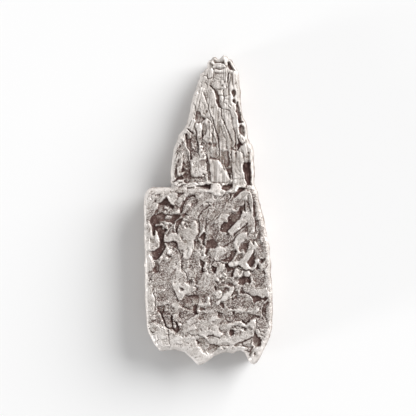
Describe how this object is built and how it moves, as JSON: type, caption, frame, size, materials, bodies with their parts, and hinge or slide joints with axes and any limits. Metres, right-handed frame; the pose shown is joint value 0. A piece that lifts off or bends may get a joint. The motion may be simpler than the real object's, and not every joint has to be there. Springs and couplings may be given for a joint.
{
  "type": "iron meteorite",
  "caption": "A thick, square-cornered slab of pale weathered iron with a flaked, pitted face and a narrow spur of splinters rising from one end; a display stone that lies on its flat back.",
  "frame": {"origin": "Centre of the overall box, at the height of the flat back that the piece lies on.", "axes": "Z is the thickness, pointing up out of the broken face; Y runs along the length, from the foot of the slab to the tip of the spur; X is the width."},
  "size_m": [0.0322, 0.0772, 0.0095],
  "materials": {
    "metal": "pale burnished metal on the high flakes and edges, matte granular grey between them, dark reddish-brown oxide in the recesses"
  },
  "bodies": {
    "root": {"meteorite": "metal"}
  },
  "joints": []
}
